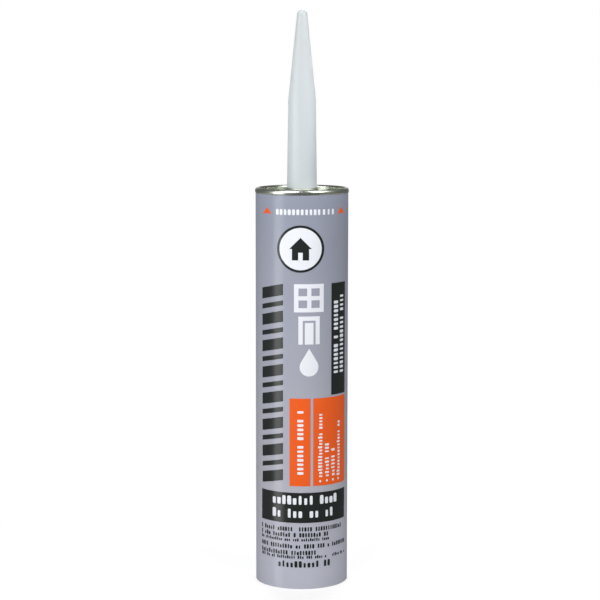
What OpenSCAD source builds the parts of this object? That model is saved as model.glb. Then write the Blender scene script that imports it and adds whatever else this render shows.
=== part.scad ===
// Sealant cartridge for a caulk gun: a wound board barrel with a printed wrap, a tinplate front end
// seamed on to it, a closed plastic nozzle held under the front end's neck, and a plunger that is
// pushed up the barrel from its open rear. The cartridge stands on its open rear edge, +Z runs up the
// axis to the nozzle's tip, and the middle of the printed front faces -Y.

/* [Barrel] */
// Inside diameter of the barrel
bore_d = 46.5; // [44:0.1:50]
// Thickness of the wound board
board_t = 1.6; // [1.2:0.1:2.4]
// Height from the open rear edge to the top of the rim
body_h = 215.1; // [200:0.1:240]
// Length of the slope from the full wall down to the wall that the rim grips
squeeze_l = 0.4; // [0.2:0.05:1]

/* [Label] */
// Thickness of the printed wrap
label_t = 0.15; // [0.1:0.01:0.3]
// Thickness of the ink on the wrap
ink_t = 0.1; // [0.05:0.01:0.2]
// Width of the printed block, measured round the front
print_w = 55; // [50:0.5:64]

/* [Rim and front end] */
// Thickness of the tinplate
tin_t = 0.25; // [0.2:0.01:0.35]
// How far the rim stands out past the wrap
rim_proud = 0.3; // [0.15:0.01:0.6]
// Drop from the top of the rim to its widest point
rim_drop = 1.7; // [1.4:0.05:2.2]
// How much less the crown's radius is than half of the rim's width
crown_ease = 0.075; // [0.04:0.005:0.15]
// Drop from the top of the rim to the flat panel
panel_drop = 3.1; // [2.6:0.1:6]
// Straight drop between the panel's edge and the groove round it
groove_drop = 0.15; // [0.05:0.05:1]
// Inside radius of that groove
groove_r = 0.45; // [0.3:0.05:0.8]
// Radius of the edge where the groove meets the panel
panel_edge_r = 0.4; // [0.36:0.02:0.6]
// Radius of the flare from the panel up into the neck
flare_r = 3.5; // [2:0.1:5]
// Angle left between the neck's lip and the upright
lip_angle = 8; // [0:1:20]

/* [Nozzle] */
// Height of the nozzle's tip above the top of the rim
nozzle_rise = 94.2; // [60:0.1:120]
// Diameter where the nozzle leaves the neck
nozzle_base_d = 16.3; // [13:0.1:20]
// Height of the shank above the top of the rim
shank_rise = 44.2; // [20:0.1:54]
// How much narrower the shank is at its top, where the taper starts
shank_draft = 1.3; // [0.2:0.1:3]
// Diameter at the end of the taper
tip_d = 6; // [4:0.1:8]
// Radius of the rounded edge of the tip
tip_round = 1.7; // [0.5:0.1:1.9]
// Solid length at the closed tip
tip_solid = 4; // [2:0.5:8]
// Thickness of the nozzle's wall
nozzle_wall = 1.3; // [0.8:0.05:1.8]
// Diameter of the flange under the panel
flange_d = 30; // [26:0.5:40]
// Thickness of the flange
flange_t = 1.2; // [0.8:0.1:2]
// How far the foil seal under the flange stops short of the flange's edge
seal_inset = 2; // [0.5:0.5:5]
// Thickness of the foil seal
seal_t = 0.3; // [0.1:0.05:0.5]

/* [Plunger] */
// Depth from the open rear edge to the back of the plunger
plunger_recess = 21; // [5:0.5:60]
// Height of the plunger
plunger_h = 14; // [10:0.5:20]
// Thickness of the plunger's skirt
skirt_t = 1.1; // [0.8:0.1:2]
// Thickness of the plunger's web
web_t = 1.5; // [1:0.1:3]
// How far the skirt stands back from its two wiper lips
lip_relief = 0.6; // [0.3:0.05:1.2]
// Height of each wiper lip
lip_h = 2.2; // [1.6:0.1:3.5]
// Number of ribs behind the web
rib_count = 6; // [3:1:12]
// Thickness of each rib
rib_t = 1.1; // [0.8:0.1:2]
// Distance from the back of the plunger to the ribs
rib_setback = 1.5; // [0.5:0.1:4]
// Diameter of the middle boss
boss_d = 9; // [6:0.5:14]

/* [Clearances] */
// Gap between parts that are seamed or clamped together
seam_gap = 0.05; // [0.02:0.01:0.1]
// Gap between the wiper lips and the barrel
plunger_gap = 0.05; // [0.03:0.01:0.15]
// Gap round the sealant
paste_gap = 0.05; // [0.03:0.01:0.2]

/* [Print: plain fields] */
// Height of the dark band's lower edge
band_z = 36.4; // [20:0.1:50]
// Height of the dark band
band_h = 16.5; // [8:0.1:24]
// Bare strip between the dark band and the orange panels
band_gap = 3.6; // [1:0.1:8]
// Height of the orange panels as a share of the space between the dark band's gap and the triangles
orange_share = 0.3265; // [0.2:0.0005:0.4]
// Width of the left orange panel
orange_w = 11.3; // [6:0.1:16]
// Bare strip between the orange panels
orange_gap = 1.5; // [0.5:0.1:3]
// Width of the dark side bar
bar_w = 12.3; // [6:0.1:15]
// Bare strip between the side bar and the orange panel under it
bar_gap = 1.1; // [0.5:0.1:5]

/* [Print: slanted stripes] */
// Width of the column of slanted stripes
stripe_w = 14.6; // [8:0.1:17]
// Distance from the printed block's left edge to the column
stripe_inset = 0.7; // [0:0.1:2]
// Bare strip between the column and the left orange panel
stripe_gap = 3.8; // [1:0.1:6]
// Number of stripe pairs in the column
stripe_pairs = 8; // [2:1:12]
// Share of each pair's pitch that its broad stripe takes
broad_share = 0.42; // [0.2:0.01:0.5]
// Share of each pair's pitch that its narrow stripe takes
narrow_share = 0.18; // [0.05:0.01:0.25]
// Rise of a stripe from its left end to its right end
stripe_slant = 3; // [0:0.1:5]

/* [Print: marks, badge and signs] */
// Drop from the top of the rim to the small triangles' lower edge
mark_drop = 12.8; // [10:0.1:20]
// Distance from the printed block's side edges to the triangles
mark_inset = 1.7; // [0:0.1:8]
// Width of each triangle
mark_w = 6.4; // [3:0.1:8]
// Height of each triangle
mark_h = 3.2; // [2:0.1:5]
// Bare strip between the triangles and the badge
mark_gap = 5.8; // [1:0.1:10]
// Diameter of the round badge as a share of the space between the band's gap and the triangles
badge_share = 0.1715; // [0.12:0.0005:0.21]
// Middle of the badge, from the middle of the front
badge_x = -2.6; // [-6:0.1:6]
// Width of the badge's dark ring
badge_ring = 1.3; // [0.5:0.1:2]
// Width of the house in the badge
house_w = 12; // [6:0.5:14]
// Share of the house's width by which its roof overhangs each side wall
eaves_share = 0.12; // [0.05:0.01:0.25]
// Width of the house's door as a share of the house's width
doorway_share = 0.2; // [0.1:0.01:0.4]
// Height of the house's door as a share of the house's width
doorway_rise = 0.34; // [0.15:0.01:0.45]
// Bare strip between the badge and the highest sign
badge_gap = 6.1; // [2:0.1:10]
// Middle of the column of three signs, from the middle of the front
sign_x = 2.1; // [-1:0.1:4]
// Width of the window sign
sign_w = 16; // [10:0.1:18]
// Height of each sign as a share of the space between the band's gap and the triangles
sign_share = 0.103; // [0.06:0.001:0.125]
// Width of the door sign as a share of the window sign's width
door_share = 0.72; // [0.5:0.01:1]
// Bare line round the leaf in the door sign, as a share of the stroke's width
leaf_gap_share = 0.5; // [0.2:0.05:1]
// Radius of the drop sign's round end as a share of its height
drop_share = 0.34; // [0.25:0.01:0.4]
// Bare strip between one sign and the next
sign_gap = 2.2; // [1:0.1:4]
// Width of the strokes in the signs
stroke = 2.3; // [1:0.1:2.8]

/* [Hidden] */
$fn = 96;

// Steps in each arc of a section
arc_steps = 8;

// Radii of the wall, from the bore outwards
bore_r = bore_d / 2;
board_r = bore_r + board_t;
label_r = board_r + label_t;
rim_r = label_r + rim_proud;

// The rim: a crown arc over the board's top edge, and a flatter bead arc down its outside
chuck_r = bore_r - seam_gap - tin_t;
rim_w = rim_r - chuck_r;
crown_r = rim_w / 2 - crown_ease;
crown_c = [chuck_r + crown_r, body_h - crown_r];
bead_z = body_h - rim_drop;
bead_dr = chuck_r + crown_r - rim_r;
bead_dz = crown_c[1] - bead_z;
bead_r = (pow(crown_r, 2) - pow(bead_dr, 2) - pow(bead_dz, 2)) / (2 * (bead_dr + crown_r));
bead_c = [rim_r - bead_r, bead_z];
crown_start = atan2(crown_c[1] - bead_c[1], crown_c[0] - bead_c[0]);
hem_start = -acos((label_r - bead_c[0]) / bead_r);
hem_z = bead_z + bead_r * sin(hem_start);

// The top of the board and its wrap, squeezed until they fit inside the rim's lower edge
board_top = crown_c[1] - seam_gap;
grip_r = bead_c[0] + (bead_r - tin_t) * cos(hem_start) - seam_gap;
board_squeeze = label_r - grip_r;
grip_z = hem_z - seam_gap;
grip_start = grip_z - squeeze_l / 2;

// The panel, its groove and the neck
panel_z = body_h - panel_drop;
groove_depth = groove_r + groove_drop + panel_edge_r;
groove_c = [chuck_r - groove_r, panel_z - groove_depth + groove_r];
edge_c = [chuck_r - 2 * groove_r - panel_edge_r, panel_z - panel_edge_r];
nozzle_base_r = nozzle_base_d / 2;
neck_r = nozzle_base_r + seam_gap + tin_t;
flare_c = [neck_r + flare_r, panel_z + flare_r];

// The nozzle, its flange and the foil under it
flange_top = panel_z - tin_t - seam_gap;
flange_z = flange_top - flange_t;
seal_z = flange_z - seal_t;
seal_r = flange_d / 2 - seal_inset;
shank_z = body_h + shank_rise;
tip_z = body_h + nozzle_rise;
tip_c = [tip_d / 2 - tip_round, tip_z - tip_round];
shank_top_r = nozzle_base_r - shank_draft / 2;
to_tip = [tip_c[0] - shank_top_r, tip_c[1] - shank_z];
taper = atan2(to_tip[1], to_tip[0]) - asin(tip_round / norm(to_tip)) - 90;
cavity_top = tip_z - tip_solid;
taper_slope = tan(taper);

// The plunger and the sealant in front of it
lip_r = bore_r - plunger_gap;
skirt_r = lip_r - lip_relief;
skirt_in = skirt_r - skirt_t;
plunger_front = plunger_recess + plunger_h;
web_z = plunger_front - web_t;
paste_r = bore_r - paste_gap;
paste_z = plunger_front + paste_gap;
paste_top = min(seal_z, panel_z - groove_depth - tin_t) - paste_gap;

// Print, across the front
ink_r = label_r + ink_t;
turn = 180 / (PI * label_r);
print_left = -print_w / 2;
print_right = print_w / 2;
stripe_x = print_left + stripe_inset + stripe_w / 2;
orange_x = stripe_x + stripe_w / 2 + stripe_gap;
orange_x2 = orange_x + orange_w + orange_gap;
bar_x = print_right - bar_w;
mark_x = print_right - mark_inset - mark_w / 2;

// Print, up and down: the dark band and the triangles bound a space that the rest shares
orange_z = band_z + band_h + band_gap;
mark_z = body_h - mark_drop;
print_h = mark_z - orange_z;

// Print, down from the triangles: badge, three signs
badge_r = badge_share * print_h / 2;
badge_z = mark_z - mark_gap - badge_r;
signs_top = badge_z - badge_r - badge_gap;
sign_h = sign_share * print_h;
sign_pitch = sign_h + sign_gap;
sign_z = signs_top - sign_h / 2;

// Print, up from the dark band: orange panels, then the side bar and the stripes up to the signs' top
orange_h = orange_share * print_h;
bar_z = orange_z + orange_h + bar_gap;
bar_h = signs_top - bar_z;
stripe_h = signs_top - orange_z - stripe_slant;

// Points of an arc about c, from angle a to angle b
function arc(c, r, a, b) = [for (i = [0:arc_steps]) let (t = a + (b - a) * i / arc_steps)
    [c[0] + r * cos(t), c[1] + r * sin(t)]];
function reversed(p) = [for (i = [len(p) - 1:-1:0]) p[i]];

// The sheet's line from the hem to the neck's lip, d below its outer face
function sheet(d) = concat(
    arc(bead_c, bead_r - d, hem_start, crown_start),
    arc(crown_c, crown_r - d, crown_start, 180),
    arc(groove_c, groove_r + d, 0, -180),
    arc(edge_c, panel_edge_r - d, 0, 90),
    arc(flare_c, flare_r + d, -90, -180 + lip_angle)
);

// A tube turned from a line of its outside, from the rear edge up
module wound_tube(full_r, inner_r) {
    rotate_extrude()
        polygon([
            [inner_r, 0],
            [full_r, 0],
            [full_r, grip_start],
            [full_r - board_squeeze, grip_start + squeeze_l],
            [full_r - board_squeeze, board_top],
            [min(inner_r, full_r - board_squeeze - label_t), board_top],
            [min(inner_r, full_r - board_squeeze - label_t), grip_start + squeeze_l],
            [inner_r, grip_start]
        ]);
}

module barrel() {
    color([0.72, 0.66, 0.55])
        wound_tube(board_r, bore_r);
}

module label() {
    color([0.62, 0.63, 0.69])
        wound_tube(label_r, board_r);
}

// A rectangle of ink from x0 to x1, both measured round the wrap from the middle of the front
module field(x0, x1, z, h) {
    rotate([0, 0, -90 + x0 * turn])
        rotate_extrude(angle = (x1 - x0) * turn)
            translate([label_r, z])
                square([ink_t, h]);
}

// Flat shapes pressed on to the wrap, with x = 0 at the given place round the front
module pressed(x) {
    rotate([0, 0, x * turn])
        intersection() {
            difference() {
                cylinder(r = ink_r, h = body_h);
                translate([0, 0, -1])
                    cylinder(r = label_r, h = body_h + 2);
            }
            rotate([90, 0, 0])
                linear_extrude(2 * ink_r)
                    children();
        }
}

module stripe(z, h) {
    polygon([
        [-stripe_w / 2, z],
        [stripe_w / 2, z + stripe_slant],
        [stripe_w / 2, z + stripe_slant + h],
        [-stripe_w / 2, z + h]
    ]);
}

// Broad and narrow stripes in turn, with a narrow one left out at the top
module stripe_column() {
    pitch = stripe_h / (stripe_pairs - 1 + broad_share);
    broad = broad_share * pitch;
    narrow = narrow_share * pitch;
    bare = (pitch - broad - narrow) / 2;
    for (i = [0:stripe_pairs - 1])
        stripe(orange_z + i * pitch, broad);
    for (i = [0:stripe_pairs - 2])
        stripe(orange_z + i * pitch + broad + bare, narrow);
}

module window_sign() {
    pane_w = (sign_w - 3 * stroke) / 2;
    pane_h = (sign_h - 3 * stroke) / 2;
    difference() {
        square([sign_w, sign_h], center = true);
        for (x = [-1, 1])
            for (z = [-1, 1])
                translate([x * (pane_w + stroke) / 2, z * (pane_h + stroke) / 2])
                    square([pane_w, pane_h], center = true);
    }
}

// A frame on three sides with the door's leaf inside it
module door_sign() {
    door_w = door_share * sign_w;
    leaf_gap = leaf_gap_share * stroke;
    opening_w = door_w - 2 * stroke;
    difference() {
        square([door_w, sign_h], center = true);
        translate([-opening_w / 2, -sign_h / 2 - stroke])
            square([opening_w, sign_h]);
    }
    translate([-opening_w / 2 + leaf_gap, -sign_h / 2])
        square([opening_w - 2 * leaf_gap, sign_h - stroke - leaf_gap]);
}

// A round end with two straight sides that run from it up to the peak
module drop_sign() {
    drop_r = drop_share * sign_h;
    peak = sign_h - drop_r;
    side = asin(drop_r / peak);
    translate([0, drop_r - sign_h / 2])
        polygon(concat(
            [[0, peak]],
            arc([0, 0], drop_r, 180 - side, 270),
            arc([0, 0], drop_r, 270, 360 + side)
        ));
}

module house(w) {
    eaves = eaves_share * w;
    door_w = doorway_share * w;
    door_h = doorway_rise * w;
    difference() {
        union() {
            translate([-w / 2 + eaves, -w / 2])
                square([w - 2 * eaves, w / 2]);
            polygon([[-w / 2, 0], [w / 2, 0], [0, w / 2]]);
        }
        translate([-door_w / 2, -w])
            square([door_w, w / 2 + door_h]);
    }
}

module dark_print() {
    color([0.14, 0.15, 0.16]) {
        field(print_left, print_right, band_z, band_h);
        field(bar_x, print_right, bar_z, bar_h);
        pressed(stripe_x)
            stripe_column();
        pressed(badge_x)
            translate([0, badge_z]) {
                difference() {
                    circle(r = badge_r);
                    circle(r = badge_r - badge_ring);
                }
                house(house_w);
            }
    }
}

module orange_print() {
    color([0.92, 0.4, 0.15]) {
        field(orange_x, orange_x + orange_w, orange_z, orange_h);
        field(orange_x2, print_right, orange_z, orange_h);
        for (side = [-1, 1])
            pressed(side * mark_x)
                polygon([[-mark_w / 2, mark_z], [mark_w / 2, mark_z], [0, mark_z + mark_h]]);
    }
}

module white_print() {
    color([0.95, 0.95, 0.96]) {
        pressed(sign_x) {
            translate([0, sign_z])
                window_sign();
            translate([0, sign_z - sign_pitch])
                door_sign();
            translate([0, sign_z - 2 * sign_pitch])
                drop_sign();
        }
        pressed(badge_x)
            translate([0, badge_z])
                difference() {
                    circle(r = badge_r - badge_ring);
                    house(house_w);
                }
    }
}

module front_end() {
    color([0.78, 0.78, 0.72])
        rotate_extrude()
            polygon(concat(sheet(0), reversed(sheet(tin_t))));
}

// The ring of sealing compound in the crown, over the board's top edge
module seam_compound() {
    fill_r = crown_r - tin_t - seam_gap;
    color([0.45, 0.5, 0.47])
        rotate_extrude()
            intersection() {
                translate(crown_c)
                    circle(r = fill_r);
                translate([crown_c[0] - fill_r, crown_c[1]])
                    square([2 * fill_r, fill_r]);
            }
}

// Outside of the nozzle from the flange's rear face up to the tip
function nozzle_outside() = concat(
    [[flange_d / 2, flange_z], [flange_d / 2, flange_top]],
    arc(flare_c, flare_r + tin_t + seam_gap, -90, -180),
    [[shank_top_r, shank_z]],
    arc(tip_c, tip_round, taper, 90)
);

// Inside of the nozzle from the closed tip down to the flange's rear face
function nozzle_inside() = [
    [shank_top_r - nozzle_wall - (cavity_top - shank_z) * taper_slope, cavity_top],
    [shank_top_r - nozzle_wall, shank_z],
    [nozzle_base_r - nozzle_wall, flare_c[1]],
    [nozzle_base_r - nozzle_wall, flange_z]
];

module nozzle() {
    color([0.86, 0.89, 0.9])
        rotate_extrude()
            polygon(concat(nozzle_outside(), [[0, tip_z], [0, cavity_top]], nozzle_inside()));
}

module breakaway_seal() {
    color([0.8, 0.8, 0.82])
        translate([0, 0, seal_z])
            cylinder(r = seal_r, h = seal_t);
}

module sealant() {
    color([0.9, 0.9, 0.88])
        translate([0, 0, paste_z])
            cylinder(r = paste_r, h = paste_top - paste_z);
}

module plunger_shell() {
    lip_edge = lip_h / 3;
    rotate_extrude()
        polygon([
            [skirt_in, plunger_recess],
            [lip_r - lip_relief / 2, plunger_recess],
            [lip_r, plunger_recess + lip_edge],
            [lip_r, plunger_recess + 2 * lip_edge],
            [skirt_r, plunger_recess + lip_h + lip_edge],
            [skirt_r, plunger_front - lip_h - lip_edge],
            [lip_r, plunger_front - 2 * lip_edge],
            [lip_r, plunger_front - lip_edge],
            [lip_r - lip_relief, plunger_front],
            [0, plunger_front],
            [0, web_z],
            [skirt_in, web_z]
        ]);
}

module plunger() {
    rib_z = plunger_recess + rib_setback;
    color([0.93, 0.93, 0.9]) {
        plunger_shell();
        translate([0, 0, plunger_recess])
            cylinder(d = boss_d, h = plunger_h - web_t / 2);
        for (i = [0:rib_count - 1])
            rotate([0, 0, i * 360 / rib_count])
                translate([0, -rib_t / 2, rib_z])
                    cube([skirt_in + skirt_t / 2, rib_t, plunger_front - web_t / 2 - rib_z]);
    }
}

barrel();
label();
dark_print();
orange_print();
white_print();
front_end();
seam_compound();
nozzle();
breakaway_seal();
sealant();
plunger();
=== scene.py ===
import math

import bmesh
import bpy
from mathutils import Euler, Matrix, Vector, noise


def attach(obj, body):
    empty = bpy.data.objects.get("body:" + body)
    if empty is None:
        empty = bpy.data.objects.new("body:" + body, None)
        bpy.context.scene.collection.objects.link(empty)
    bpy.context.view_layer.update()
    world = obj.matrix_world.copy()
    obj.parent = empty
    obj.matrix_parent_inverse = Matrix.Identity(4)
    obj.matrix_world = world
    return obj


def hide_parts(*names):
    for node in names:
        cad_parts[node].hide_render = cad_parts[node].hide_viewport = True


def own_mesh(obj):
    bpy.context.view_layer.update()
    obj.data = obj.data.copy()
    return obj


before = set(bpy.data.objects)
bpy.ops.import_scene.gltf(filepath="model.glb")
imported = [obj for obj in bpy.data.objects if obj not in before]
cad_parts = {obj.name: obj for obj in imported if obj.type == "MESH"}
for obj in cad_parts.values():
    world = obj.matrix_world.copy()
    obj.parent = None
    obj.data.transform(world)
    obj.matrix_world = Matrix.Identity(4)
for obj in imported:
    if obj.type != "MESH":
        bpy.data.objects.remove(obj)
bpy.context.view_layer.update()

print("frame: the packed cartridge is in,", len(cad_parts), "nodes")

mm = 0.001
tiny = 1e-6

# In metres: an edge too short to keep, the same point, and the same corner of a CAD mesh
sliver, hair, cadWeld = 1e-8, 1e-7, 2e-6

# The wall in mm, from the bore outwards, as the solids have it
wall = {
    "bore": 23.25,
    "board": 1.6,
    "paper": 0.15,
    "top": 215.1,
    "slope": 0.4,  # where it is drawn in under the rim
    "gap": 0.05,  # clear between neighbours
    "winding pitch": 78,
}
boardRadius = wall["bore"] + wall["board"]
paperRadius = boardRadius + wall["paper"]


def smoothStep(value, low, high):
    share = min(max((value - low) / (high - low), 0), 1)
    return share * share * (3 - 2 * share)


def arcPoints(centre, radius, start, end, steps):
    angles = [math.radians(start + (end - start) * i / steps) for i in range(steps + 1)]
    return [(centre[0] + radius * math.cos(a), centre[1] + radius * math.sin(a)) for a in angles]


def evenAngles(count, extra=()):
    return sorted([360 * i / count for i in range(count)] + list(extra))


def rowsBetween(radius, low, high, step):
    count = max(1, round((high - low) / step))
    return [(radius, low + (high - low) * i / count) for i in range(count + 1)]


# Turns a closed section of (radius, height) pairs in mm about the axis, angles counted from the front
def turned(name, outline, angles, lift=None):
    points, rings = [], []
    for radius, height in outline:
        if radius < tiny:
            rings.append([len(points)] * len(angles))
            points.append((0, 0, height * mm))
            continue
        rings.append(range(len(points), len(points) + len(angles)))
        for angle in angles:
            out = (radius + (lift(angle, radius, height) if lift else 0)) * mm
            turn = math.radians(angle)
            points.append((out * math.sin(turn), -out * math.cos(turn), height * mm))
    faces = []
    for i, ring in enumerate(rings):
        above = rings[(i + 1) % len(rings)]
        for k in range(len(angles)):
            n = (k + 1) % len(angles)
            corners = list(dict.fromkeys([ring[k], ring[n], above[n], above[k]]))
            if len(corners) > 2:
                faces.append(corners)
    mesh = bpy.data.meshes.new(name)
    mesh.from_pydata(points, [], faces)
    return tidied(mesh)


# Merges doubles, points the faces outwards and keeps only real edges sharp
def tidied(mesh, merge=hair, turnOut=True, sharpAngle=32):
    shape = bmesh.new()
    shape.from_mesh(mesh)
    bmesh.ops.remove_doubles(shape, verts=shape.verts, dist=merge)
    bmesh.ops.dissolve_degenerate(shape, edges=shape.edges, dist=sliver)
    if turnOut:
        bmesh.ops.recalc_face_normals(shape, faces=shape.faces)
    shape.to_mesh(mesh)
    shape.free()
    mesh.polygons.foreach_set("use_smooth", [True] * len(mesh.polygons))
    mesh.set_sharp_from_angle(angle=math.radians(sharpAngle))
    mesh.update()
    return mesh


def addPiece(name, mesh, material, slot, body, *standsFor):
    piece = bpy.data.objects.new(name, mesh)
    bpy.context.scene.collection.objects.link(piece)
    mesh.materials.clear()
    mesh.materials.append(material)
    if standsFor:
        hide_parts(*standsFor)
    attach(piece, body)
    return piece


# A socket is linked to a value that comes from a node, and set to one that is plain
def feed(tree, socket, value):
    if isinstance(value, bpy.types.NodeSocket):
        tree.links.new(value, socket)
    elif socket.type == "RGBA":
        socket.default_value = (*value, 1)
    else:
        socket.default_value = value


def addNode(tree, kind, place, settings=None, values=None):
    made = tree.nodes.new(kind)
    made.location = place
    for key, value in (settings or {}).items():
        setattr(made, key, value)
    for key, value in (values or {}).items():
        feed(tree, made.inputs[key], value)
    return made


def addMath(tree, operation, place, *values):
    numbers = dict(enumerate(values))
    return addNode(tree, "ShaderNodeMath", place, {"operation": operation}, numbers).outputs[0]


def addMix(tree, place, share, first, second):
    colours = {0: share, 6: first, 7: second}
    return addNode(tree, "ShaderNodeMix", place, {"data_type": "RGBA"}, colours).outputs[2]


def addRange(tree, place, value, low, high, toLow=0, toHigh=1, smooth=False):
    kind = {"interpolation_type": "SMOOTHSTEP" if smooth else "LINEAR"}
    numbers = {"Value": value, "From Min": low, "From Max": high, "To Min": toLow, "To Max": toHigh}
    return addNode(tree, "ShaderNodeMapRange", place, kind, numbers).outputs["Result"]


# A mask between two limits as a factor round 1
def addTone(tree, place, mask, limits, strength):
    return addRange(tree, place, mask, *limits, 1 - strength, 1 + strength)


def addNoise(tree, place, vector, scale, detail, roughness):
    values = {"Vector": vector, "Scale": scale, "Detail": detail, "Roughness": roughness}
    return addNode(tree, "ShaderNodeTexNoise", place, None, values).outputs["Fac"]


def startGroup(name, inputs, outputs):
    tree = bpy.data.node_groups.new(name, "ShaderNodeTree")
    for label, value in inputs.items():
        socket = tree.interface.new_socket(label, in_out="INPUT", socket_type="NodeSocketFloat")
        socket.default_value = value
    for label in outputs:
        tree.interface.new_socket(label, in_out="OUTPUT", socket_type="NodeSocketFloat")
    start = addNode(tree, "NodeGroupInput", (-900, 0)).outputs
    end = addNode(tree, "NodeGroupOutput", (500, 0)).inputs
    spot = addNode(tree, "ShaderNodeTexCoord", (-900, -300)).outputs["Object"]
    return tree, start, end, spot


# Fibre grain and soft cloudiness, for paper, ink, board and moulded plastic
def makeGrain():
    scales = {"Grain scale": 1800, "Cloud scale": 60}
    tree, start, end, spot = startGroup("surfaceGrain", scales, ("Grain", "Cloud"))
    feed(tree, end["Grain"], addNoise(tree, (-500, 150), spot, start["Grain scale"], 3, 0.6))
    cloud = addNoise(tree, (-500, -150), spot, start["Cloud scale"], 4, 0.5)
    feed(tree, end["Cloud"], addRange(tree, (0, -150), cloud, 0.3, 0.7))
    return tree


# Finger smears and fine rubbed marks, for everything that is handled
def makeHandling():
    scales = {"Smear scale": 45, "Rub scale": 500}
    tree, start, end, spot = startGroup("handling", scales, ("Smear", "Rub"))
    drawnOut = addNode(tree, "ShaderNodeMapping", (-650, -100), None,
                       {"Vector": spot, "Scale": (1, 1, 0.35), "Rotation": (0.4, 0.2, 0.7)}).outputs[0]
    smear = addNoise(tree, (-350, 100), drawnOut, start["Smear scale"], 2, 0.4)
    rub = addNoise(tree, (-350, -200), drawnOut, start["Rub scale"], 5, 0.7)
    feed(tree, end["Smear"], addRange(tree, (0, 100), smear, 0.42, 0.68, smooth=True))
    feed(tree, end["Rub"], addRange(tree, (0, -200), rub, 0.6, 0.72))
    return tree


# How far from the axis, how far round and how high a point lies, for plies, windings and fades
def makeRound():
    tree, start, end, spot = startGroup("roundAxis", {}, ("Radius", "Turn", "Height"))
    x, y, z = addNode(tree, "ShaderNodeSeparateXYZ", (-650, 0), None, {0: spot}).outputs
    squares = [addMath(tree, "POWER", (-450, 250), x, 2), addMath(tree, "POWER", (-450, 100), y, 2)]
    square = addMath(tree, "ADD", (-250, 200), *squares)
    feed(tree, end["Radius"], addMath(tree, "SQRT", (-50, 200), square))
    angle = addMath(tree, "ARCTAN2", (-450, -100), x, y)
    feed(tree, end["Turn"], addMath(tree, "DIVIDE", (-250, -100), angle, 2 * math.pi))
    feed(tree, end["Height"], z)
    return tree


grainGroup, handlingGroup, roundGroup = makeGrain(), makeHandling(), makeRound()


def useGroup(tree, group, place, values=None):
    return addNode(tree, "ShaderNodeGroup", place, {"node_tree": group}, values).outputs


def startMaterial(name, shine):
    material = bpy.data.materials.new(name)
    material.use_nodes = True
    tree = material.node_tree
    tree.nodes.clear()
    surface = addNode(tree, "ShaderNodeBsdfPrincipled", (400, 0), None, shine)
    addNode(tree, "ShaderNodeOutputMaterial", (700, 0), None, {"Surface": surface.outputs[0]})
    return material, tree, surface


def paint(tree, surface, colour, tone):
    values = {0: colour, "Scale": tone}
    toned = addNode(tree, "ShaderNodeVectorMath", (0, 200), {"operation": "SCALE"}, values)
    feed(tree, surface.inputs["Base Color"], toned.outputs[0])


def roughen(tree, surface, mask, more, base):
    feed(tree, surface.inputs["Roughness"], addMath(tree, "MULTIPLY_ADD", (200, -100), mask, more, base))


def addBump(tree, surface, height, strength, depth):
    values = {"Strength": strength, "Distance": depth * mm, "Height": height}
    bump = addNode(tree, "ShaderNodeBump", (150, -400), None, values)
    feed(tree, surface.inputs["Normal"], bump.outputs[0])


# A thin line that winds round the axis, where one turn of the board's strip meets the next
def addWinding(tree, where, width):
    rise = addMath(tree, "DIVIDE", (-850, -600), where["Height"], wall["winding pitch"] * mm)
    spiral = addMath(tree, "ADD", (-650, -500), where["Turn"], rise)
    edge = addMath(tree, "PINGPONG", (-450, -500), spiral, 0.5)
    return addRange(tree, (-250, -500), edge, 0, width, smooth=True)


# The varnished print: the bare grey runs from a deeper blue grey under the rim to a paler one at the
# foot. Here and below, a relief is the strength and the depth in mm, and the limits are the part of a
# mask that is used.
printing = {
    "grey foot": (0.485, 0.495, 0.58),
    "grey middle": (0.432, 0.437, 0.5),
    "grey top": (0.29, 0.312, 0.392),
    "foot height": 10,
    "middle height": 60,
    "top height": 205,
    "dark": (0.0095, 0.0135, 0.0125),
    "orange": (0.86, 0.112, 0.009),
    "white": (0.83, 0.85, 0.905),
    "shine": 0.2,
    "varnish": 0.6,
    "varnish roughness": 0.24,
    "sheet roughness": 0.55,
    "smear roughness": 0.06,
    "grain": {"Grain scale": 2600, "Cloud scale": 34},
    "handling": {"Smear scale": 26, "Rub scale": 420},
    "cloud limits": (0, 1),
    "cloud tone": 0.015,
    "grain limits": (0.35, 0.65),
    "grain tone": 0.025,
    "grain height": 0.12,
    "winding width": 0.012,
    "relief": (0.35, 0.02),
}


def printMaterial(name, colour=None):
    material, tree, surface = startMaterial(name, {
        "Specular IOR Level": printing["shine"],
        "Coat Weight": printing["varnish"],
        "Coat Roughness": printing["varnish roughness"],
    })
    grain = useGroup(tree, grainGroup, (-900, 200), printing["grain"])
    hands = useGroup(tree, handlingGroup, (-900, -50), printing["handling"])
    where = useGroup(tree, roundGroup, (-900, -300))
    if colour is None:
        foot, middle, top = [printing[level + " height"] * mm for level in ("foot", "middle", "top")]
        low = addRange(tree, (-650, 420), where["Height"], foot, middle)
        high = addRange(tree, (-650, 220), where["Height"], middle, top)
        lower = addMix(tree, (-420, 420), low, printing["grey foot"], printing["grey middle"])
        colour = addMix(tree, (-200, 320), high, lower, printing["grey top"])
    shade = addTone(tree, (-420, 60), grain["Cloud"], printing["cloud limits"], printing["cloud tone"])
    speck = addTone(tree, (-420, -120), grain["Grain"], printing["grain limits"], printing["grain tone"])
    paint(tree, surface, colour, addMath(tree, "MULTIPLY", (-200, 0), shade, speck))
    roughen(tree, surface, hands["Smear"], printing["smear roughness"], printing["sheet roughness"])
    # The board's spiral windings show very faintly through the wrap
    line = addWinding(tree, where, printing["winding width"])
    height = addMath(tree, "MULTIPLY_ADD", (-50, -400), grain["Grain"], printing["grain height"], line)
    addBump(tree, surface, height, *printing["relief"])
    return material


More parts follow.
